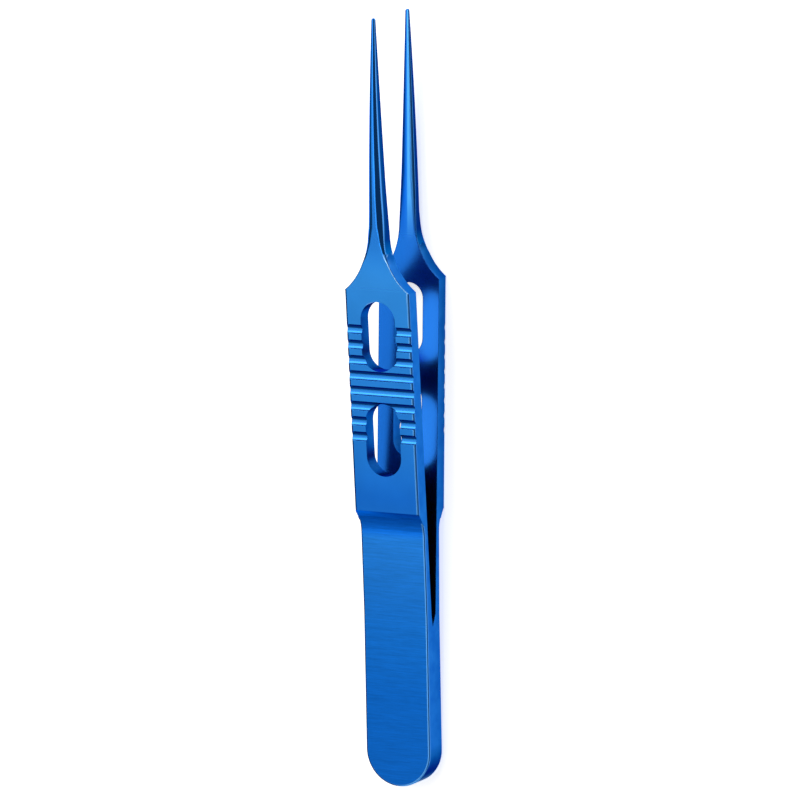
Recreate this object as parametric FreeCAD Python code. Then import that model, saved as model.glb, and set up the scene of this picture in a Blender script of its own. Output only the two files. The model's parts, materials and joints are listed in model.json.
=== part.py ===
# Lens holding forceps, straight, made of blue anodised titanium.
#
# Two spring arms are welded together at a round tail. Each arm is a thin leaf at the tail,
# steps outwards into a thick grip plate with two long windows and a row of finger grooves,
# and narrows past its shoulders into a round shank that ends in a fine tip.
#
# The arms are drawn about a middle plane, Z = 0, with the tail's end at Y = 0, the tips
# towards +Y and the width along X. At the end the forceps is laid on the outer face of its
# lower arm, the way it comes to rest on a tray, with its base centred on the origin.

import FreeCAD, Part
import math
import os
from FreeCAD import Vector

# Overall, along the forceps
LENGTH = 108.0              # tail end to the tips
ROOT_Y = 24.4               # where each leaf leaves the welded tail
CREASE_Y = 39.1             # top of the step, where the grip plate begins
SHOULDER_Y = 70.2           # far end of the grip plate

# Widths, along X
TAIL_WIDTH = 10.0
GRIP_WIDTH = 10.0
SHANK_WIDTH = 2.7           # where the shoulder's curve runs into the shank
TIP_WIDTH = 0.56
SHOULDER_RADIUS = 9.4      # hollow curve from the shoulder's corner to the shank

# Thicknesses and spread, along Z
TAIL_THICKNESS = 3.8
ROOT_GAP = 1.25             # between the leaves where they leave the tail
GRIP_GAP = 6.8              # between the grip plates at the shoulders
TIP_GAP = 9.5               # between the tips' inner faces, at rest
LEAF_END_THICKNESS = 0.85   # the leaf thins towards the step
GRIP_THICKNESS = 2.35       # at the step
SHOULDER_THICKNESS = 2.2
TIP_THICKNESS = 0.45
STEP_RADIUS = 4.6           # hollow curve from the leaf up to the grip plate's crease
EDGE_RADIUS = 0.35           # rounding of the grip plate's two long outer edges

# The gap's blind end in the tail: a long ramp on the lower arm, a short one on the upper
GAP_END_Y = 22.7
GAP_END_Z = 0.3

# Windows through each grip plate
WINDOW_WIDTH = 5.35
LOW_WINDOW_LENGTH = 10.2
LOW_WINDOW_Y = 49.25        # centre of the window nearer the tail
HIGH_WINDOW_LENGTH = 9.85
HIGH_WINDOW_Y = 63.85       # centre of the window nearer the tip

# Finger grooves across each grip plate's outer face
GROOVE_COUNT = 8
GROOVE_PITCH = 2.16
FIRST_GROOVE_Y = 49.6
GROOVE_WIDTH = 1.34
GROOVE_DEPTH = 0.42

# The arms are finished by hand, and the lower one differs a little from the upper
LOWER_SHOULDER_SHIFT = 0.75    # its shoulder lies this much nearer the tip
LOWER_LOW_WINDOW_SHIFT = 1.9   # and so do its windows
LOWER_HIGH_WINDOW_SHIFT = 1.4
LOWER_GRIP_TRIM = 0.6          # ground off one long edge of its grip plate
LOWER_WINDOW_TRIM = 0.75       # its windows are this much narrower on the same side
LOWER_WINDOW_SIDE_TRIM = 0.2   # and this much on the other
LOWER_GROOVE_PITCH = 2.04

# Shank: its outer side is ground round first, and then its inner side
SHANK_ROOT_Y = 77.4         # where the shank's width is measured
GRINDING_Y = 74.0           # where the rounding of the outer side begins
ROUND_Y = 79.6              # and where it is complete
INNER_GRINDING_Y = 76.0     # where the rounding of the inner side begins
INNER_ROUND_Y = 85.0        # and where it is complete
CORNER_START = 0.1          # rounding of the edges where the grinding begins
FLANK_SHARE = 0.6           # depth of the round flank, of the shank's thickness
INNER_SHARE = 0.2           # depth of the rounding on the inner side, of the same
INNER_WIDTH_SHARE = 0.85    # its width, of the shank's half width
FLAT_SHARE = 0.06           # share of the half width that stays flat on top when fully round
HOLLOW_SECTIONS = 12        # sections through the shoulder's hollow curve
TAPER_SECTIONS = 16         # sections from there to the rounded tip
TIP_SECTIONS = 4            # sections through the rounded tip
TIP_END_SHARE = 0.3         # width of the last of them, of the tip's width

CUT_MARGIN = 2.0            # how far cutting shapes stand clear of what they cut
ARM_CLOSING_STOP = 0.05     # each tip stops this short of the middle plane

UPPER_ARM = {
    "shoulder_y": SHOULDER_Y,
    "left_x": GRIP_WIDTH / 2,
    "windows": ((LOW_WINDOW_Y, LOW_WINDOW_LENGTH), (HIGH_WINDOW_Y, HIGH_WINDOW_LENGTH)),
    "window_left_x": WINDOW_WIDTH / 2,
    "window_right_x": WINDOW_WIDTH / 2,
    "groove_pitch": GROOVE_PITCH,
}
LOWER_ARM = {
    "shoulder_y": SHOULDER_Y + LOWER_SHOULDER_SHIFT,
    "left_x": GRIP_WIDTH / 2 - LOWER_GRIP_TRIM,
    "windows": ((LOW_WINDOW_Y + LOWER_LOW_WINDOW_SHIFT, LOW_WINDOW_LENGTH),
                (HIGH_WINDOW_Y + LOWER_HIGH_WINDOW_SHIFT, HIGH_WINDOW_LENGTH)),
    "window_left_x": WINDOW_WIDTH / 2 - LOWER_WINDOW_TRIM,
    "window_right_x": WINDOW_WIDTH / 2 - LOWER_WINDOW_SIDE_TRIM,
    "groove_pitch": LOWER_GROOVE_PITCH,
}


def line_at(start, end, y):
    """Height at y on the straight line through two (y, z) points."""
    return start[1] + (end[1] - start[1]) * (y - start[0]) / (end[0] - start[0])


def inner_height(arm, y):
    """Height of an arm's inner face above the middle plane."""
    if y < arm["shoulder_y"]:
        return line_at((ROOT_Y, ROOT_GAP / 2), (arm["shoulder_y"], GRIP_GAP / 2), y)
    return line_at((arm["shoulder_y"], GRIP_GAP / 2), (LENGTH, TIP_GAP / 2), y)


def outer_point(arm, y, thickness):
    """The point on an arm's outer face at y, where it is this thick."""
    return Vector(0, y, inner_height(arm, y) + thickness)


def leaf_half_width(y):
    """Half width of the tail and leaf, which widen evenly up to the grip plate."""
    return line_at((TAIL_WIDTH / 2, TAIL_WIDTH / 2), (CREASE_Y, GRIP_WIDTH / 2), y)


def unit(vector):
    """The same direction, one millimetre long."""
    return vector * (1.0 / vector.Length)


def back_height(arm, y):
    """Height of the shank's back: an arc that carries on the grip plate's line to the tip."""
    crease = outer_point(arm, CREASE_Y, GRIP_THICKNESS)
    shoulder = outer_point(arm, arm["shoulder_y"], SHOULDER_THICKNESS)
    along = unit(shoulder - crease)
    inwards = Vector(0, along.z, -along.y)
    chord = outer_point(arm, LENGTH, TIP_THICKNESS) - shoulder
    radius = chord.dot(chord) / (2 * chord.dot(inwards))
    centre = shoulder + inwards * radius
    return centre.z + math.sqrt(radius ** 2 - (y - centre.y) ** 2)


def side_profile(arm):
    """The leaf's and grip plate's side face, in the plane X = 0."""
    leaf_root = Vector(0, ROOT_Y, TAIL_THICKNESS / 2)
    leaf_end = outer_point(arm, CREASE_Y, LEAF_END_THICKNESS)
    crease = outer_point(arm, CREASE_Y, GRIP_THICKNESS)
    shoulder = outer_point(arm, arm["shoulder_y"], SHOULDER_THICKNESS)

    # the step: an arc that leaves the leaf's line smoothly and ends at the crease
    along = unit(leaf_end - leaf_root)
    up = Vector(0, -along.z, along.y)
    rise = (crease - leaf_root).dot(up)
    run = math.sqrt(2 * STEP_RADIUS * rise - rise * rise)
    foot = crease - up * rise - along * run
    step_centre = foot + up * STEP_RADIUS
    half_way = unit(unit(foot - step_centre) + unit(crease - step_centre))
    step = Part.Arc(foot, step_centre + half_way * STEP_RADIUS, crease)

    root_inner = outer_point(arm, ROOT_Y, 0)
    shoulder_inner = outer_point(arm, arm["shoulder_y"], 0)
    edges = [Part.LineSegment(leaf_root, foot), step, Part.LineSegment(crease, shoulder),
             Part.LineSegment(shoulder, shoulder_inner), Part.LineSegment(shoulder_inner, root_inner),
             Part.LineSegment(root_inner, leaf_root)]
    return Part.Wire([edge.toShape() for edge in edges])


def grip_outline(arm):
    """The leaf and grip plate seen from above."""
    root = leaf_half_width(ROOT_Y)
    grip = GRIP_WIDTH / 2
    trim = grip - arm["left_x"]
    points = [Vector(-root, ROOT_Y, 0), Vector(root, ROOT_Y, 0), Vector(grip, CREASE_Y, 0),
              Vector(grip, arm["shoulder_y"], 0), Vector(-arm["left_x"], arm["shoulder_y"], 0)]
    if trim > 0:
        points.append(Vector(-arm["left_x"], CREASE_Y + trim, 0))
    points += [Vector(-grip, CREASE_Y, 0), points[0]]
    return Part.makePolygon(points)


def make_plate(arm):
    """The leaf and grip plate, with the plate's long outer edges rounded."""
    half = GRIP_WIDTH / 2 + CUT_MARGIN
    slab = Part.Face(side_profile(arm)).extrude(Vector(2 * half, 0, 0))
    slab.translate(Vector(-half, 0, 0))
    plate = slab.common(Part.Face(grip_outline(arm)).extrude(Vector(0, 0, TIP_GAP)))
    middle_y = (CREASE_Y + arm["shoulder_y"]) / 2
    middle_z = inner_height(arm, middle_y) + SHOULDER_THICKNESS / 2
    long_edges = [edge for edge in plate.Edges
                  if edge.BoundBox.YMin < middle_y < edge.BoundBox.YMax
                  and edge.CenterOfMass.z > middle_z]
    return plate.makeFillet(EDGE_RADIUS, long_edges)


def hollow(corner_x, corner_y):
    """Centre and end of the hollow curve from a grip plate's corner to the shank's straight taper."""
    corner = Vector(corner_x, corner_y, 0)
    tip = Vector(TIP_WIDTH / 2, LENGTH, 0)
    taper = unit(Vector(SHANK_WIDTH / 2, SHANK_ROOT_Y, 0) - tip)
    outwards = Vector(-taper.y, taper.x, 0)
    # the centre lies one radius outside the taper's line and one radius from the corner
    offset = SHOULDER_RADIUS - (corner - tip).dot(outwards)
    reach = (corner - tip).dot(taper) - math.sqrt(SHOULDER_RADIUS ** 2 - offset ** 2)
    end = tip + taper * reach
    return end + outwards * SHOULDER_RADIUS, end


def shank_half_width(y, corner_x, corner_y):
    """Distance from the arm's middle to its side, from the grip plate's corner to the tip."""
    centre, end = hollow(corner_x, corner_y)
    tip_round = TIP_WIDTH / 2
    if y < end.y:
        return centre.x - math.sqrt(SHOULDER_RADIUS ** 2 - (y - centre.y) ** 2)
    if y < LENGTH - tip_round:
        return line_at((end.y, end.x), (LENGTH - tip_round, tip_round), y)
    return math.sqrt(tip_round ** 2 - (y - LENGTH + tip_round) ** 2)


def growth(start_y, end_y, y):
    """How far something has grown at y, from 0 at its start to 1 at its end."""
    return min(max((y - start_y) / (end_y - start_y), 0.0), 1.0)


def round_corner(start, corner, end):
    """A quarter of an ellipse that leaves and reaches the corner's two sides smoothly."""
    curve = Part.BezierCurve()
    curve.setPoles([start, corner, end])
    curve.setWeight(2, math.sqrt(0.5))
    return curve


def shank_section(arm, y):
    """The shank's section at y: four rounded edges between flat stretches."""
    shoulder_y = arm["shoulder_y"]
    left = shank_half_width(y, arm["left_x"], shoulder_y)
    right = shank_half_width(y, GRIP_WIDTH / 2, shoulder_y)
    top = back_height(arm, y)
    bottom = inner_height(arm, y)
    narrow = min(left, right)

    def grown(full, share):
        start = min(CORNER_START, full)
        return start + (full - start) * share

    outer_growth = growth(GRINDING_Y, ROUND_Y, y)
    width = grown(narrow * (1 - FLAT_SHARE), outer_growth)
    depth = grown((top - bottom) * FLANK_SHARE, outer_growth)
    inner_growth = growth(INNER_GRINDING_Y, INNER_ROUND_Y, y)
    inner_width = grown(narrow * INNER_WIDTH_SHARE, inner_growth)
    inner_depth = grown((top - bottom) * INNER_SHARE, inner_growth)

    corners = (
        (Vector(right - width, y, top), Vector(right, y, top), Vector(right, y, top - depth)),
        (Vector(right, y, bottom + inner_depth), Vector(right, y, bottom),
         Vector(right - inner_width, y, bottom)),
        (Vector(inner_width - left, y, bottom), Vector(-left, y, bottom),
         Vector(-left, y, bottom + inner_depth)),
        (Vector(-left, y, top - depth), Vector(-left, y, top), Vector(width - left, y, top)),
    )
    edges = []
    for index, (start, corner, end) in enumerate(corners):
        next_start = corners[(index + 1) % len(corners)][0]
        edges += [round_corner(start, corner, end), Part.LineSegment(end, next_start)]
    return Part.Wire([edge.toShape() for edge in edges])


def make_shank(arm):
    """The shank from the grip plate's end to the tip."""
    hollow_end = hollow(GRIP_WIDTH / 2, arm["shoulder_y"])[1].y
    tip_start = LENGTH - TIP_WIDTH / 2
    tip_end = LENGTH - TIP_WIDTH / 2 * (1 - math.sqrt(1 - TIP_END_SHARE ** 2))
    hollow_length = hollow_end - arm["shoulder_y"]
    hollow_places = [arm["shoulder_y"] + hollow_length * (index / (HOLLOW_SECTIONS - 1)) ** 1.5
                     for index in range(HOLLOW_SECTIONS)]
    taper_places = [line_at((0, hollow_end), (TAPER_SECTIONS, tip_start), index)
                    for index in range(TAPER_SECTIONS)]
    taper_places += [line_at((0, tip_start), (TIP_SECTIONS - 1, tip_end), index)
                     for index in range(TIP_SECTIONS)]
    shoulder = Part.makeLoft([shank_section(arm, y) for y in hollow_places], True, False)
    return shoulder.fuse(Part.makeLoft([shank_section(arm, y) for y in taper_places], True, True))


def window(arm, centre_y, length):
    """A long hole with round ends, right through a grip plate."""
    right = arm["window_right_x"]
    left = -arm["window_left_x"]
    middle = (right + left) / 2
    radius = (right - left) / 2
    low = centre_y - length / 2
    high = low + length
    edges = [
        Part.LineSegment(Vector(right, low + radius, 0), Vector(right, high - radius, 0)),
        Part.Arc(Vector(right, high - radius, 0), Vector(middle, high, 0), Vector(left, high - radius, 0)),
        Part.LineSegment(Vector(left, high - radius, 0), Vector(left, low + radius, 0)),
        Part.Arc(Vector(left, low + radius, 0), Vector(middle, low, 0), Vector(right, low + radius, 0)),
    ]
    face = Part.Face(Part.Wire([edge.toShape() for edge in edges]))
    return face.extrude(Vector(0, 0, TIP_GAP))


def groove(arm, y):
    """A round-bottomed finger groove across a grip plate's outer face."""
    radius = ((GROOVE_WIDTH / 2) ** 2 + GROOVE_DEPTH ** 2) / (2 * GROOVE_DEPTH)
    crease = outer_point(arm, CREASE_Y, GRIP_THICKNESS)
    shoulder = outer_point(arm, arm["shoulder_y"], SHOULDER_THICKNESS)
    centre_z = line_at((crease.y, crease.z), (shoulder.y, shoulder.z), y) - GROOVE_DEPTH + radius
    half = GRIP_WIDTH / 2 + CUT_MARGIN
    return Part.makeCylinder(radius, 2 * half, Vector(-half, y, centre_z), Vector(1, 0, 0))


def make_arm(arm):
    """One arm above the middle plane."""
    solid = make_plate(arm).fuse(make_shank(arm))
    for centre_y, length in arm["windows"]:
        solid = solid.cut(window(arm, centre_y, length))
    for index in range(GROOVE_COUNT):
        solid = solid.cut(groove(arm, FIRST_GROOVE_Y + index * arm["groove_pitch"]))
    return solid.removeSplitter().Solids[0]


def make_tail():
    """The welded tail: round at its end, with the gap's blind end cut into it."""
    radius = TAIL_WIDTH / 2
    root = leaf_half_width(ROOT_Y)
    edges = [
        Part.LineSegment(Vector(radius, radius, 0), Vector(root, ROOT_Y, 0)),
        Part.LineSegment(Vector(root, ROOT_Y, 0), Vector(-root, ROOT_Y, 0)),
        Part.LineSegment(Vector(-root, ROOT_Y, 0), Vector(-radius, radius, 0)),
        Part.Arc(Vector(-radius, radius, 0), Vector(0, 0, 0), Vector(radius, radius, 0)),
    ]
    plan = Part.Face(Part.Wire([edge.toShape() for edge in edges]))
    plan.translate(Vector(0, 0, -TAIL_THICKNESS / 2))
    block = plan.extrude(Vector(0, 0, TAIL_THICKNESS))
    half = TAIL_WIDTH
    corners = [Vector(-half, GAP_END_Y, GAP_END_Z), Vector(-half, ROOT_Y, ROOT_GAP / 2),
               Vector(-half, ROOT_Y + CUT_MARGIN, ROOT_GAP / 2),
               Vector(-half, ROOT_Y + CUT_MARGIN, -ROOT_GAP / 2), Vector(-half, ROOT_Y, -ROOT_GAP / 2),
               Vector(-half, GAP_END_Y, GAP_END_Z)]
    gap = Part.Face(Part.makePolygon(corners)).extrude(Vector(2 * half, 0, 0))
    return block.cut(gap)


def resting_angle(arm):
    """Turn about X that lays the lower arm on a flat surface, from tail end to shoulder."""
    slopes = []
    for edge in arm.Edges:
        for point in edge.discretize(12):
            slopes.append(math.atan2(point.z - TAIL_THICKNESS / 2, point.y))
    return math.degrees(max(slopes))


lower_arm = make_arm(LOWER_ARM)
angle = resting_angle(lower_arm)
solids = {
    "tail": make_tail(),
    "upper_arm": make_arm(UPPER_ARM),
    "lower_arm": lower_arm.mirror(Vector(0, 0, 0), Vector(0, 0, 1)),
}
for solid in solids.values():
    solid.rotate(Vector(0, 0, 0), Vector(1, 0, 0), angle)
box = Part.makeCompound(list(solids.values())).optimalBoundingBox(False)
base = Vector(-(box.XMin + box.XMax) / 2, -(box.YMin + box.YMax) / 2, -box.ZMin)

os.makedirs("parts", exist_ok=True)
for name, solid in solids.items():
    solid.translate(base)
    solid.exportStep("parts/" + name + ".step")

# Where the arms turn, and how far: each bends inwards about its leaf's inner edge at the root
turn = FreeCAD.Rotation(Vector(1, 0, 0), angle)
for name, side in (("upper_arm", 1), ("lower_arm", -1)):
    hinge = turn.multVec(Vector(0, ROOT_Y, side * ROOT_GAP / 2)) + base
    print(name, "turns about", [round(value, 4) for value in hinge])
reach = LENGTH - ROOT_Y
lift = TIP_GAP / 2 - ROOT_GAP / 2
distance = math.hypot(reach, lift)
closing = math.atan2(lift, reach) - math.asin((ARM_CLOSING_STOP - ROOT_GAP / 2) / distance)
print("closing angle", round(math.degrees(closing), 4))
print("resting angle", round(angle, 4), "base", [round(value, 4) for value in base])
for name, solid in solids.items():
    print(name, "valid", solid.isValid(), "solids", len(solid.Solids), "volume", round(solid.Volume, 2))
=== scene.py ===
# Blue anodised titanium lens holding forceps, lying on a pale floor under soft studio light.
#
# The forceps is shown as two welded halves. Each half is one arm with its side of the tail, joined
# as one closed shell with cuts across its leaf.

import json
import math

import bmesh
import bpy
from mathutils import Matrix, Vector


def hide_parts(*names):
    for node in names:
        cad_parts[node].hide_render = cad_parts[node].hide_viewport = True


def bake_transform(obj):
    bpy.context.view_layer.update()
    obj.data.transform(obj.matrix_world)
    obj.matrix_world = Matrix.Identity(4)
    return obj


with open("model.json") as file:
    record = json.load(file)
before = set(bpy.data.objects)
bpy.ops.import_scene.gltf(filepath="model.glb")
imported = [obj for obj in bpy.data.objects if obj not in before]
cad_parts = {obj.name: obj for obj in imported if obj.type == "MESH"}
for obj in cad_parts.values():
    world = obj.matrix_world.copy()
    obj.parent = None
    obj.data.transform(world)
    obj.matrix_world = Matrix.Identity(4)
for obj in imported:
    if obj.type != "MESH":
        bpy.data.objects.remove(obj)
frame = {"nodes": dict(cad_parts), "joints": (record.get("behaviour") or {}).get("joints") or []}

bpy.context.view_layer.update()

MM = 0.001

# Along the forceps, from the tail's end, in millimetres
LENGTH = 108.0
ROOT_Y = 24.4               # where the leaf leaves the welded tail
CREASE_Y = 39.1             # top of the step, where the grip plate begins
SHOULDER_Y = 70.2           # where the grip plate ends and the shoulder hollows in
FLANK_Y = 75.5              # from here to the tip the shank's flanks are polished round
SEAM_Z = 0.3                # height of the weld seam above the middle plane
GRIP_WIDTH = 10.0
SHANK_ROOT_Y = 77.4         # where the shank's straight taper begins
SHANK_WIDTH = 2.7           # there, and at the tip
TIP_WIDTH = 0.56

# Where a film, or a painted shade or highlight, fades in: nothing of it at the first place, all of it at
# the second
LINES_BEGIN = (68.0, 69.5)  # the painted highlight and shade lines along the shoulder's edges
LINES_END = (FLANK_Y, 74.5)
PAINTED_FLANKS_BEGIN = (73.0, 77.5)
PAINTED_REFLECTION_BEGINS = (76.0, 82.0)
TAIL_END = (2.0, 6.0)       # the darkening of the tail's end wall, in the same way but fading out
LOW_SIDES = (-5.0, -2.5)    # the painted shade of the lower arm's sides near the floor, by height
POLISHED_Y = 80.0           # from here to the tip the shank is fully polished

STEP_TOP_Y = 38.6           # up to here the leaf's edges are rounded in the mesh
EDGE_ROUNDING = 0.27
EDGE_SEGMENTS = 3
FINE_ROUNDING = 0.12        # of the grooves and the inner edges, drawn in the finish
LINE_MASK_ROUNDING = 0.18        # of the shoulder's edges, drawn in the finish as painted highlight and shade lines
ROUNDING_SAMPLES = 6
SHARP_ANGLE = math.radians(25)
LEAF_CUTS = 16              # cuts across the leaf
SAME_PLACE = 0.001          # points closer than this are one point of the same piece
JOINED = 0.002              # and this of two pieces
NEAR = 0.01
FLATNESS = math.radians(0.5)

# Where the camera stands: it looks at the target, a point in the drawing frame, from this side
CAMERA_TARGET = Vector((0.278, 54.202, -0.137))
CAMERA_DIRECTION = Vector((0.46752068, 0.17737361, 0.86600405))
CAMERA_ROLL = math.radians(-1.085)
CAMERA_DISTANCE = 1325.06
CAMERA_LENS = 432.3


def drawing_frame():
    """The frame that the forceps is drawn in: mm, tail's end at Y = 0, middle plane at Z = 0."""
    joints = {joint["name"]: Vector(joint["pos_m"]) for joint in frame["joints"]}
    above = joints["upper_arm_closes"]
    below = joints["lower_arm_closes"]
    up = (above - below).normalized()
    across = Vector((1, 0, 0))
    along = up.cross(across)
    matrix = Matrix((across, along, up)).transposed().to_4x4()
    matrix.translation = (above + below) / 2 - along * ROOT_Y * MM
    return matrix @ Matrix.Scale(MM, 4)


DRAWING = drawing_frame()


def linear(code):
    """An sRGB hex colour as linear RGBA."""
    values = [int(code[place:place + 2], 16) / 255 for place in (0, 2, 4)]
    lit = [v / 12.92 if v <= 0.04045 else ((v + 0.055) / 1.055) ** 2.4 for v in values]
    return (*lit, 1.0)


def make_camera():
    data = bpy.data.cameras.new("camera")
    data.sensor_width = 36
    data.lens = CAMERA_LENS
    data.clip_end = 10          # metres
    camera = bpy.data.objects.new("camera", data)
    bpy.context.scene.collection.objects.link(camera)
    back = CAMERA_DIRECTION.normalized()
    right = Vector((0, 1, 0)).cross(back).normalized()
    up = back.cross(right)
    turned_right = right * math.cos(CAMERA_ROLL) + up * math.sin(CAMERA_ROLL)
    turned_up = back.cross(turned_right)
    look = Matrix((turned_right, turned_up, back)).transposed()
    camera.rotation_mode = "QUATERNION"
    camera.rotation_quaternion = DRAWING.to_quaternion() @ look.to_quaternion()
    camera.location = DRAWING @ (CAMERA_TARGET + back * CAMERA_DISTANCE)
    bpy.context.scene.camera = camera


def node_mesh(name):
    """A merged copy of a CAD node's mesh in the drawing frame."""
    mesh = bmesh.new()
    mesh.from_mesh(frame["nodes"][name].data)
    mesh.transform(DRAWING.inverted())
    bmesh.ops.remove_doubles(mesh, verts=mesh.verts, dist=SAME_PLACE)
    return mesh


def half_of_tail(side):
    """The tail's half above or below the weld seam, closed along the seam."""
    mesh = node_mesh("tail")
    cut = bmesh.ops.bisect_plane(
        mesh, geom=mesh.verts[:] + mesh.edges[:] + mesh.faces[:], dist=SAME_PLACE,
        plane_co=(0, 0, SEAM_Z), plane_no=(0, 0, -side), clear_outer=True)
    rim = [item for item in cut["geom_cut"] if isinstance(item, bmesh.types.BMEdge)]
    bmesh.ops.edgeloop_fill(mesh, edges=rim)
    return mesh


def joined_half(arm, side):
    """One arm and its half of the tail as one closed shell."""
    mesh = node_mesh(arm)
    tail = half_of_tail(side)
    part = bpy.data.meshes.new("tail_half")
    tail.to_mesh(part)
    tail.free()
    mesh.from_mesh(part)
    bpy.data.meshes.remove(part)
    bmesh.ops.remove_doubles(mesh, verts=mesh.verts, dist=JOINED)
    walls = [face for face in mesh.faces
             if abs(face.normal.y) > 0.99 and abs(face.calc_center_median().y - ROOT_Y) < NEAR]
    bmesh.ops.delete(mesh, geom=walls, context="FACES")
    bmesh.ops.remove_doubles(mesh, verts=mesh.verts, dist=JOINED)
    bmesh.ops.dissolve_limit(mesh, angle_limit=FLATNESS, verts=mesh.verts, edges=mesh.edges)
    return mesh


def on_seam(edge):
    return all(abs(vert.co.z - SEAM_Z) < NEAR for vert in edge.verts)


# The finishes of a half, and how much a face looks outwards where its finish changes: 1 is straight
# out and -1 straight in
FINISHES = ("satin", "brushed", "groove", "ground", "inner", "edge")
LOOKS_OUT = 0.6             # more than this is the outer side, less than minus this the inner side
FLAT_PLATE = 0.99           # less than this isn't the plate's flat but a groove or an edge
FLAT_SHOULDER = 0.97
UPRIGHT = 0.1               # less than this is a wall


def finish_of(face, side):
    """Which finish a face has, from where it lies and which way it looks."""
    outwards = face.normal.z * side
    place = face.calc_center_median().y
    if outwards < -LOOKS_OUT:
        return "inner"
    if CREASE_Y < place < SHOULDER_Y and UPRIGHT < outwards < FLAT_PLATE:
        return "edge" if abs(face.normal.x) > UPRIGHT else "groove"
    if SHOULDER_Y < place < FLANK_Y and UPRIGHT < outwards < FLAT_SHOULDER:
        return "edge"
    if outwards < LOOKS_OUT and place < FLANK_Y:
        return "ground"
    if place < CREASE_Y:
        return "brushed"
    return "satin"


def round_edges(mesh, side):
    """Rounds the edges around the outer side of the tail and the leaf."""
    edges = []
    for edge in mesh.edges:
        if edge.is_manifold and edge.calc_face_angle() > SHARP_ANGLE and not on_seam(edge):
            place = (edge.verts[0].co.y + edge.verts[1].co.y) / 2
            top = max(face.normal.z * side for face in edge.link_faces) > 0.9
            if place < STEP_TOP_Y and top:
                edges.append(edge)
    made = bmesh.ops.bevel(
        mesh, geom=edges, offset=EDGE_ROUNDING, offset_type="OFFSET", affect="EDGES",
        segments=EDGE_SEGMENTS, profile=0.5, material=-1)
    for face in made["faces"]:
        face.material_index = FINISHES.index("edge")


def make_half(name, arm, side, materials):
    mesh = joined_half(arm, side)
    for face in mesh.faces:
        face.material_index = FINISHES.index(finish_of(face, side))
    round_edges(mesh, side)
    span = CREASE_Y - ROOT_Y
    for index in range(LEAF_CUTS + 1):
        bmesh.ops.bisect_plane(
            mesh, geom=mesh.verts[:] + mesh.edges[:] + mesh.faces[:], dist=SAME_PLACE,
            plane_co=(0, ROOT_Y + span * index / LEAF_CUTS, 0), plane_no=(0, 1, 0))
    for face in mesh.faces:
        face.smooth = True
    for edge in mesh.edges:
        edge.smooth = not edge.is_manifold or edge.calc_face_angle() < SHARP_ANGLE
    mesh.transform(DRAWING)
    data = bpy.data.meshes.new(name)
    mesh.to_mesh(data)
    mesh.free()
    for finish in FINISHES:
        data.materials.append(materials[finish])
    half = bpy.data.objects.new(name, data)
    bpy.context.scene.collection.objects.link(half)
    normals = half.modifiers.new("even_faces", "WEIGHTED_NORMAL")
    normals.keep_sharp = True
    return half


def add_node(tree, kind, settings=None, links=()):
    """Adds a shader node with its settings, and links into it from (socket, node, output)."""
    node = tree.nodes.new(kind)
    for key, value in (settings or {}).items():
        if key == "stops":
            ramp = node.color_ramp.elements
            while len(ramp) < len(value):
                ramp.new(0.5)
            for stop, (place, colour) in zip(ramp, value):
                stop.position = place
                stop.color = linear(colour)
        elif isinstance(key, int) or key in node.inputs:
            node.inputs[key].default_value = value
        else:
            setattr(node, key, value)
    for socket, source, output in links:
        tree.links.new(source.outputs[output], node.inputs[socket])
    return node


def new_tree(name):
    material = bpy.data.materials.new(name)
    material.use_nodes = True
    material.node_tree.nodes.clear()
    return material, material.node_tree


def drawing_coordinates(tree):
    """Object coordinates in millimetres, along the forceps from the tail's end."""
    place, turn, size = DRAWING.inverted().decompose()
    coordinates = add_node(tree, "ShaderNodeTexCoord")
    return add_node(tree, "ShaderNodeMapping", {
        "Location": place, "Rotation": turn.to_euler(), "Scale": size},
        [("Vector", coordinates, "Object")])


# All finishes are the same metal, which stays blue when it is seen at a low angle.
METAL = {"Metallic": 1.0, "Specular Tint": linear("5CA4EC")}
FINE_EDGES = {"samples": ROUNDING_SAMPLES, "Radius": FINE_ROUNDING * MM}
LINE_MASK_EDGES = {"samples": ROUNDING_SAMPLES, "Radius": LINE_MASK_ROUNDING * MM}
NOISE = {"From Min": 0.3, "From Max": 0.7}          # nearly all of a noise texture's values
FACING = {"From Min": -1.0, "From Max": 1.0}        # all of a direction's shares

# Painted shade and highlight on the shank, from where it looks straight up or down to where it looks
# sideways
PAINTED_FLANK_STOPS = [(0.0, "2474C8"), (0.8, "2474C8"), (0.86, "4C98E8"), (0.91, "4C98E8"),
               (0.95, "0C3C78"), (1.0, "0C3C78")]


def painted_flanks(tree, split, film):
    """Painted shade on the shank: deep blue on its flanks, with a painted highlight line where they
    begin.
    """
    coordinates = add_node(tree, "ShaderNodeTexCoord")
    facing = add_node(tree, "ShaderNodeSeparateXYZ", links=[("Vector", coordinates, "Normal")])
    sideways = add_node(tree, "ShaderNodeMath", {"operation": "ABSOLUTE"}, [(0, facing, "X")])
    painted_flank = add_node(tree, "ShaderNodeValToRGB", {"stops": PAINTED_FLANK_STOPS}, [("Fac", sideways, "Value")])
    shank = add_node(tree, "ShaderNodeMapRange", {
        "From Min": PAINTED_FLANKS_BEGIN[0], "From Max": PAINTED_FLANKS_BEGIN[1]}, [("Value", split, "Y")])
    return add_node(tree, "ShaderNodeMixRGB", links=[
        ("Fac", shank, "Result"), ("Color1", film, "Color"), ("Color2", painted_flank, "Color")])


# Painted highlight and shade lines along the shoulder's edges: how far the edge has turned right
# where a line begins and is full, and its colour
PAINTED_SHOULDER_LINES = ((0.04, 0.2, "C0E6FF"), (-0.04, -0.2, "082C60"))


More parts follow.
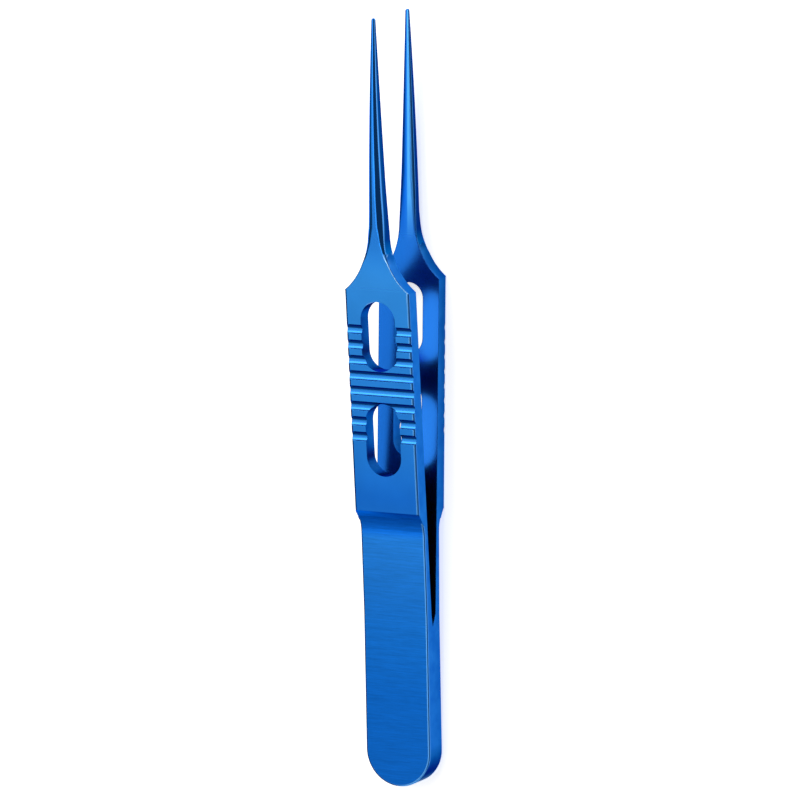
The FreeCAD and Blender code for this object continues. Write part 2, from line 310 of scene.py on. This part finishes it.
def hollow_with_painted_lines(tree, split, film):
    """The film with painted lines on the shoulder's edges: a pale painted highlight to the right,
    painted shade to the left.
    """
    edges = add_node(tree, "ShaderNodeBevel", LINE_MASK_EDGES)
    facing = add_node(tree, "ShaderNodeSeparateXYZ", links=[("Vector", edges, "Normal")])
    begins = add_node(tree, "ShaderNodeMapRange", {
        "From Min": LINES_BEGIN[0], "From Max": LINES_BEGIN[1]}, [("Value", split, "Y")])
    ends = add_node(tree, "ShaderNodeMapRange", {
        "From Min": LINES_END[0], "From Max": LINES_END[1]}, [("Value", split, "Y")])
    shoulder = add_node(tree, "ShaderNodeMath", {"operation": "MULTIPLY"}, [
        (0, begins, "Result"), (1, ends, "Result")])
    # The pale line is a painted highlight, the deep one painted shade
    for first, last, line in PAINTED_SHOULDER_LINES:
        turned = add_node(tree, "ShaderNodeMapRange", {"From Min": first, "From Max": last}, [
            ("Value", facing, "X")])
        share = add_node(tree, "ShaderNodeMath", {"operation": "MULTIPLY"}, [
            (0, turned, "Result"), (1, shoulder, "Value")])
        film = add_node(tree, "ShaderNodeMixRGB", {"Color2": linear(line)}, [
            ("Fac", share, "Value"), ("Color1", film, "Color")])
    return film


# Anodised titanium: a film of oxide, a fifth of a micrometre thick, gives the metal its blue. Where
# the film is a little thicker or the ground below it rougher, the blue goes paler or deeper.
# Blasted with fine glass beads before it was anodised: the grip plates look satin, and the grain is
# too fine to see, so it only spreads the reflections. Towards the tips the shank is polished.
# Stops are shares of the forceps' length: the blue is deepest at the crease and palest near the
# shoulder.
SATIN_STOPS = [(0.36, "1A6AC4"), (0.38, "1868C4"), (0.45, "2478CC"), (0.55, "287CCC"),
               (0.66, "3188D6"), (0.72, "2A7FCF"), (0.80, "2474C8")]
CLOUD_SIZE = 9.0            # patches where the film differs a little
GRAIN_SIZE = 0.16           # drawn coarser than the real 0.05 mm so that it shows
BUMP_HEIGHT = 0.02


def satin_anodised_titanium():
    material, tree = new_tree("satin_anodised_titanium")
    place = drawing_coordinates(tree)
    split = add_node(tree, "ShaderNodeSeparateXYZ", links=[("Vector", place, "Vector")])
    along = add_node(tree, "ShaderNodeMapRange", {"From Max": LENGTH}, [("Value", split, "Y")])
    film = add_node(tree, "ShaderNodeValToRGB", {"stops": SATIN_STOPS}, [("Fac", along, "Result")])
    clouds = add_node(tree, "ShaderNodeTexNoise", {"Scale": 1 / CLOUD_SIZE, "Detail": 3.0},
                      [("Vector", place, "Vector")])
    value = add_node(tree, "ShaderNodeMapRange", {
        **NOISE, "To Min": 0.92, "To Max": 1.08}, [("Value", clouds, "Fac")])
    # Painted shade on the shank's flanks, and painted highlight and shade lines on the shoulder's edges
    shank = hollow_with_painted_lines(tree, split, painted_flanks(tree, split, film))
    colour = add_node(tree, "ShaderNodeHueSaturation", links=[
        ("Color", shank, "Color"), ("Value", value, "Result")])
    grain = add_node(tree, "ShaderNodeTexNoise", {"Scale": 1 / GRAIN_SIZE, "Detail": 2.0},
                     [("Vector", place, "Vector")])
    bump = add_node(tree, "ShaderNodeBump", {"Strength": 0.06, "Distance": BUMP_HEIGHT * MM}, [
        ("Height", grain, "Fac")])
    polish = add_node(tree, "ShaderNodeMapRange", {
        "From Min": SHOULDER_Y, "From Max": POLISHED_Y, "To Min": 0.28, "To Max": 0.1},
        [("Value", split, "Y")])
    shader = add_node(tree, "ShaderNodeBsdfPrincipled", METAL, [
        ("Base Color", colour, "Color"), ("Roughness", polish, "Result"), ("Normal", bump, "Normal")])
    add_node(tree, "ShaderNodeOutputMaterial", links=[("Surface", shader, "BSDF")])
    return material


# Brushed across with a fine abrasive belt before it was anodised: short scratches run across the
# leaf and the tail, each a little paler or darker than its neighbours.
BRUSHED_STOPS = [(0.0, "1064C0"), (0.12, "1066C2"), (0.2, "166EC8"), (0.31, "247CD4"),
                 (0.325, "2480DC"), (0.335, "127AF0"), (0.352, "0E64D0"), (0.362, "1060C0")]
SCRATCH_WIDTH = 0.24        # drawn coarser than the real 0.05 mm so that it shows
SCRATCH_LENGTH = 4.0


def brushed_anodised_titanium():
    material, tree = new_tree("brushed_anodised_titanium")
    place = drawing_coordinates(tree)
    split = add_node(tree, "ShaderNodeSeparateXYZ", links=[("Vector", place, "Vector")])
    along = add_node(tree, "ShaderNodeMapRange", {"From Max": LENGTH}, [("Value", split, "Y")])
    film = add_node(tree, "ShaderNodeValToRGB", {"stops": BRUSHED_STOPS}, [("Fac", along, "Result")])
    stretched = add_node(tree, "ShaderNodeMapping", {
        "Scale": (1 / SCRATCH_LENGTH, 1 / SCRATCH_WIDTH, 1 / SCRATCH_LENGTH)},
        [("Vector", place, "Vector")])
    scratches = add_node(tree, "ShaderNodeTexNoise", {
        "Scale": 1.0, "Detail": 4.0, "Roughness": 0.7}, [("Vector", stretched, "Vector")])
    value = add_node(tree, "ShaderNodeMapRange", {
        **NOISE, "To Min": 0.78, "To Max": 1.2}, [("Value", scratches, "Fac")])
    colour = add_node(tree, "ShaderNodeHueSaturation", links=[
        ("Color", film, "Color"), ("Value", value, "Result")])
    roughness = add_node(tree, "ShaderNodeMapRange", {
        **NOISE, "To Min": 0.28, "To Max": 0.4}, [("Value", scratches, "Fac")])
    edges = add_node(tree, "ShaderNodeBevel", FINE_EDGES)
    bump = add_node(tree, "ShaderNodeBump", {"Strength": 0.15, "Distance": BUMP_HEIGHT * MM}, [
        ("Height", scratches, "Fac"), ("Normal", edges, "Normal")])
    shader = add_node(tree, "ShaderNodeBsdfPrincipled", METAL, [
        ("Base Color", colour, "Color"), ("Roughness", roughness, "Result"), ("Normal", bump, "Normal")])
    add_node(tree, "ShaderNodeOutputMaterial", links=[("Surface", shader, "BSDF")])
    return material


# Milled and then tumbled smooth: the narrow sides and the walls of the windows and hollows. Painted
# shade darkens the deep places and the lower arm's sides near the floor; the tail's end wall is darker.
DEEP_PLACES = 4.0           # how far off another surface still shades a place, in millimetres
SHADE_SAMPLES = 8
MARK_SIZE = 1 / 0.7         # patches that the tumbling left a little paler or deeper
GROUND_STOPS = [(0.3, "3468B8"), (0.7, "3C76C4")]


def ground_anodised_titanium():
    material, tree = new_tree("ground_anodised_titanium")
    place = drawing_coordinates(tree)
    marks = add_node(tree, "ShaderNodeTexNoise", {"Scale": 1 / MARK_SIZE, "Detail": 4.0}, [
        ("Vector", place, "Vector")])
    split = add_node(tree, "ShaderNodeSeparateXYZ", links=[("Vector", place, "Vector")])
    film = add_node(tree, "ShaderNodeValToRGB", {"stops": GROUND_STOPS}, [("Fac", marks, "Fac")])
    # Painted shade on the shank's flanks, with a painted highlight line where they begin
    shank = painted_flanks(tree, split, film)
    # Painted shade: darker in the deep places, found by ambient occlusion, and near the floor
    depth = add_node(tree, "ShaderNodeAmbientOcclusion", {
        "Distance": DEEP_PLACES * MM, "samples": SHADE_SAMPLES, "only_local": True})
    light = add_node(tree, "ShaderNodeMapRange", {
        "From Min": 0.58, "From Max": 0.98, "To Min": 0.1}, [("Value", depth, "AO")])
    height = add_node(tree, "ShaderNodeMapRange", {
        "From Min": LOW_SIDES[0], "From Max": LOW_SIDES[1], "To Min": 0.6}, [("Value", split, "Z")])
    # Darker at the tail's end wall
    end = add_node(tree, "ShaderNodeMapRange", {
        "From Min": TAIL_END[0], "From Max": TAIL_END[1], "To Min": 0.12}, [("Value", split, "Y")])
    darker_by_place = add_node(tree, "ShaderNodeMath", {"operation": "MULTIPLY"}, [
        (0, height, "Result"), (1, end, "Result")])
    shade = add_node(tree, "ShaderNodeMath", {"operation": "MULTIPLY"}, [
        (0, light, "Result"), (1, darker_by_place, "Value")])
    colour = add_node(tree, "ShaderNodeHueSaturation", links=[
        ("Color", shank, "Color"), ("Value", shade, "Value")])
    shader = add_node(tree, "ShaderNodeBsdfPrincipled", {**METAL, "Roughness": 0.28}, [
        ("Base Color", colour, "Color")])
    add_node(tree, "ShaderNodeOutputMaterial", links=[("Surface", shader, "BSDF")])
    return material


# Left as it came from the mill: the inner faces are smoother, and their blue is vivid. Painted
# shade darkens them where the two arms face each other closely and towards the left edge. Along
# the shank a painted reflection: a pale band, with painted shade at its right edge. Stops run
# from the left edge to the right one.
INNER_STOPS = [(0.0, "1A64C0"), (0.4, "1C6CCC"), (0.75, "2678DC")]
PAINTED_REFLECTION_STOPS = [(0.0, "0A50B4"), (0.3, "0B60D4"), (0.47, "1A78E4"), (0.55, "50ACF8"),
               (0.8, "4CA2EE"), (1.0, "083C80")]
FAR_ARM = 8 * DEEP_PLACES   # how far off the other arm still shades a place


def smooth_anodised_titanium():
    material, tree = new_tree("smooth_anodised_titanium")
    place = drawing_coordinates(tree)
    split = add_node(tree, "ShaderNodeSeparateXYZ", links=[("Vector", place, "Vector")])
    across = add_node(tree, "ShaderNodeMapRange", {
        "From Min": -GRIP_WIDTH / 2, "From Max": GRIP_WIDTH / 2}, [("Value", split, "X")])
    half_width = add_node(tree, "ShaderNodeMapRange", {
        "clamp": False, "From Min": SHANK_ROOT_Y, "From Max": LENGTH, "To Min": SHANK_WIDTH / 2,
        "To Max": TIP_WIDTH / 2}, [("Value", split, "Y")])
    share = add_node(tree, "ShaderNodeMath", {"operation": "DIVIDE"}, [
        (0, split, "X"), (1, half_width, "Result")])
    across_shank = add_node(tree, "ShaderNodeMapRange", FACING, [("Value", share, "Value")])
    # Painted reflection across the shank: a pale band, with painted shade at its right edge
    shank = add_node(tree, "ShaderNodeValToRGB", {"stops": PAINTED_REFLECTION_STOPS}, [
        ("Fac", across_shank, "Result")])
    near_tip = add_node(tree, "ShaderNodeMapRange", {
        "From Min": PAINTED_REFLECTION_BEGINS[0], "From Max": PAINTED_REFLECTION_BEGINS[1]}, [("Value", split, "Y")])
    # Painted shade, darker towards the left edge
    film = add_node(tree, "ShaderNodeValToRGB", {"stops": INNER_STOPS}, [("Fac", across, "Result")])
    # Painted shade where the two arms face each other closely
    depth = add_node(tree, "ShaderNodeAmbientOcclusion", {
        "Distance": FAR_ARM * MM, "samples": SHADE_SAMPLES})
    shade = add_node(tree, "ShaderNodeMapRange", {
        "From Min": 0.1, "From Max": 0.4, "To Min": 0.15}, [("Value", depth, "AO")])
    both = add_node(tree, "ShaderNodeMixRGB", links=[
        ("Fac", near_tip, "Result"), ("Color1", film, "Color"), ("Color2", shank, "Color")])
    colour = add_node(tree, "ShaderNodeHueSaturation", links=[
        ("Color", both, "Color"), ("Value", shade, "Result")])
    polish = add_node(tree, "ShaderNodeMapRange", {
        "From Min": SHOULDER_Y, "From Max": POLISHED_Y, "To Min": 0.22, "To Max": 0.3},
        [("Value", split, "Y")])
    edges = add_node(tree, "ShaderNodeBevel", FINE_EDGES)
    shader = add_node(tree, "ShaderNodeBsdfPrincipled", METAL, [
        ("Base Color", colour, "Color"), ("Roughness", polish, "Result"), ("Normal", edges, "Normal")])
    add_node(tree, "ShaderNodeOutputMaterial", links=[("Surface", shader, "BSDF")])
    return material


# Cut with a round cutter: the grooves are smoother than the plate around them. Painted shade draws
# the wall that faces the tail deeper. Stops run from facing the tail to facing the tip.
GROOVE_SHADE_STOPS = [(0.2, "0C3C80"), (0.42, "1450A0"), (0.52, "2C7AC8"), (0.7, "3484D2")]


def smooth_cut_anodised_titanium():
    material, tree = new_tree("smooth_cut_anodised_titanium")
    coordinates = add_node(tree, "ShaderNodeTexCoord")
    facing = add_node(tree, "ShaderNodeSeparateXYZ", links=[("Vector", coordinates, "Normal")])
    forwards = add_node(tree, "ShaderNodeMapRange", FACING, [("Value", facing, "Y")])
    # Painted shade on the wall that faces the tail
    film = add_node(tree, "ShaderNodeValToRGB", {"stops": GROOVE_SHADE_STOPS}, [("Fac", forwards, "Result")])
    edges = add_node(tree, "ShaderNodeBevel", FINE_EDGES)
    shader = add_node(tree, "ShaderNodeBsdfPrincipled", {**METAL, "Roughness": 0.16}, [
        ("Base Color", film, "Color"), ("Normal", edges, "Normal")])
    add_node(tree, "ShaderNodeOutputMaterial", links=[("Surface", shader, "BSDF")])
    return material


# The rounded edges: a pale painted highlight where they turn up to the right, painted shade where
# they turn left and in a band before they meet the sides. Stops run from facing left to facing right.
PAINTED_EDGE_STOPS = [(0.44, "06285C"), (0.48, "1E66B8"), (0.52, "6AB8FC"), (0.8, "6AB8FC"),
              (0.86, "1C58A0"), (0.95, "1C58A0"), (0.98, "4C90DC")]


def painted_edge_anodised_titanium():
    material, tree = new_tree("painted_edge_anodised_titanium")
    coordinates = add_node(tree, "ShaderNodeTexCoord")
    facing = add_node(tree, "ShaderNodeSeparateXYZ", links=[("Vector", coordinates, "Normal")])
    sideways = add_node(tree, "ShaderNodeMapRange", FACING, [("Value", facing, "X")])
    # Painted highlight and shade, by which way the edge faces
    film = add_node(tree, "ShaderNodeValToRGB", {"stops": PAINTED_EDGE_STOPS}, [("Fac", sideways, "Result")])
    shader = add_node(tree, "ShaderNodeBsdfPrincipled", {**METAL, "Roughness": 0.5}, [
        ("Base Color", film, "Color")])
    add_node(tree, "ShaderNodeOutputMaterial", links=[("Surface", shader, "BSDF")])
    return material


# Matt white paper, lit from behind: it shows white and keeps the object's soft shadow.
GLOW = 0.7


def white_paper():
    material, tree = new_tree("white_paper")
    diffuse = add_node(tree, "ShaderNodeBsdfDiffuse", {"Color": linear("F4F4F4")})
    path = add_node(tree, "ShaderNodeLightPath")
    seen = add_node(tree, "ShaderNodeMath", {"operation": "ADD"}, [
        (0, path, "Is Camera Ray"), (1, path, "Is Glossy Ray")])
    seen_or_through = add_node(tree, "ShaderNodeMath", {"operation": "ADD"}, [
        (0, seen, "Value"), (1, path, "Is Transmission Ray")])
    strength = add_node(tree, "ShaderNodeMath", {"operation": "MULTIPLY", 1: GLOW}, [
        (0, seen_or_through, "Value")])
    glow = add_node(tree, "ShaderNodeEmission", {"Color": linear("FFFFFF")}, [
        ("Strength", strength, "Value")])
    both = add_node(tree, "ShaderNodeAddShader", links=[(0, diffuse, "BSDF"), (1, glow, "Emission")])
    add_node(tree, "ShaderNodeOutputMaterial", links=[("Surface", both, "Shader")])
    return material


FLOOR_SIZE = 8.0            # metres from its middle to its edge


def make_floor():
    mesh = bmesh.new()
    bmesh.ops.create_grid(mesh, x_segments=1, y_segments=1, size=FLOOR_SIZE)
    data = bpy.data.meshes.new("floor")
    mesh.to_mesh(data)
    mesh.free()
    floor = bpy.data.objects.new("floor", data)
    bpy.context.scene.collection.objects.link(floor)
    floor.data.materials.append(white_paper())


LIGHT_DISTANCE = 450.0
WORLD_STRENGTH = 0.16

# Name, lean and pitch (the angles from straight up towards +X and +Y), half the angles that it
# covers seen from the forceps, and radiance
LIGHTS = (
    ("overhead_light", -5, 24, (15, 32), 2.0),
    ("left_light", -28, 24, (8, 32), 1.2),
    ("far_left_light", -43, 24, (7, 32), 0.6),
    ("rim_light", -48, 46, (14, 16), 1.7),
    ("near_light", -13, -18, (23, 10), 1.0),
    ("tail_light", -42, -46, (20, 18), 0.4),
)


def softbox(name, lean, pitch, half_angles, radiance):
    """A rectangular light that faces the forceps."""
    lean, pitch = math.radians(lean), math.radians(pitch)
    away = Vector((
        math.sin(lean) * math.cos(pitch), math.sin(pitch), math.cos(lean) * math.cos(pitch)))
    across = Vector((0, 1, 0)).cross(away).normalized()
    along = away.cross(across)
    light = bpy.data.lights.new(name, "AREA")
    light.shape = "RECTANGLE"
    light.size, light.size_y = (
        2 * LIGHT_DISTANCE * MM * math.tan(math.radians(angle)) for angle in half_angles)
    light.energy = radiance * math.pi * light.size * light.size_y
    lamp = bpy.data.objects.new(name, light)
    bpy.context.scene.collection.objects.link(lamp)
    lamp.location = DRAWING @ (CAMERA_TARGET + away * LIGHT_DISTANCE)
    turn = Matrix((across, along, away)).transposed()
    lamp.rotation_mode = "QUATERNION"
    lamp.rotation_quaternion = DRAWING.to_quaternion() @ turn.to_quaternion()


def make_world():
    world = bpy.data.worlds.new("studio")
    bpy.context.scene.world = world
    world.use_nodes = True
    tree = world.node_tree
    tree.nodes.clear()
    room = add_node(tree, "ShaderNodeBackground", {
        "Color": linear("E8F0FF"), "Strength": WORLD_STRENGTH})
    backdrop = add_node(tree, "ShaderNodeBackground", {"Color": linear("FFFFFF"), "Strength": 1.0})
    path = add_node(tree, "ShaderNodeLightPath")
    mix = add_node(tree, "ShaderNodeMixShader", links=[
        ("Fac", path, "Is Camera Ray"), (1, room, "Background"), (2, backdrop, "Background")])
    add_node(tree, "ShaderNodeOutputWorld", links=[("Surface", mix, "Shader")])


make_camera()
make_floor()
make_world()
for light in LIGHTS:
    softbox(*light)

materials = {
    "satin": satin_anodised_titanium(),
    "brushed": brushed_anodised_titanium(),
    "groove": smooth_cut_anodised_titanium(),
    "ground": ground_anodised_titanium(),
    "inner": smooth_anodised_titanium(),
    "edge": painted_edge_anodised_titanium(),
}
for name, arm, side in (("upper_half", "upper_arm", 1), ("lower_half", "lower_arm", -1)):
    half = make_half(name, arm, side, materials)
    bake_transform(half)
    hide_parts(arm, "tail")

bpy.context.scene.view_settings.view_transform = "Standard"

bpy.context.view_layer.update()
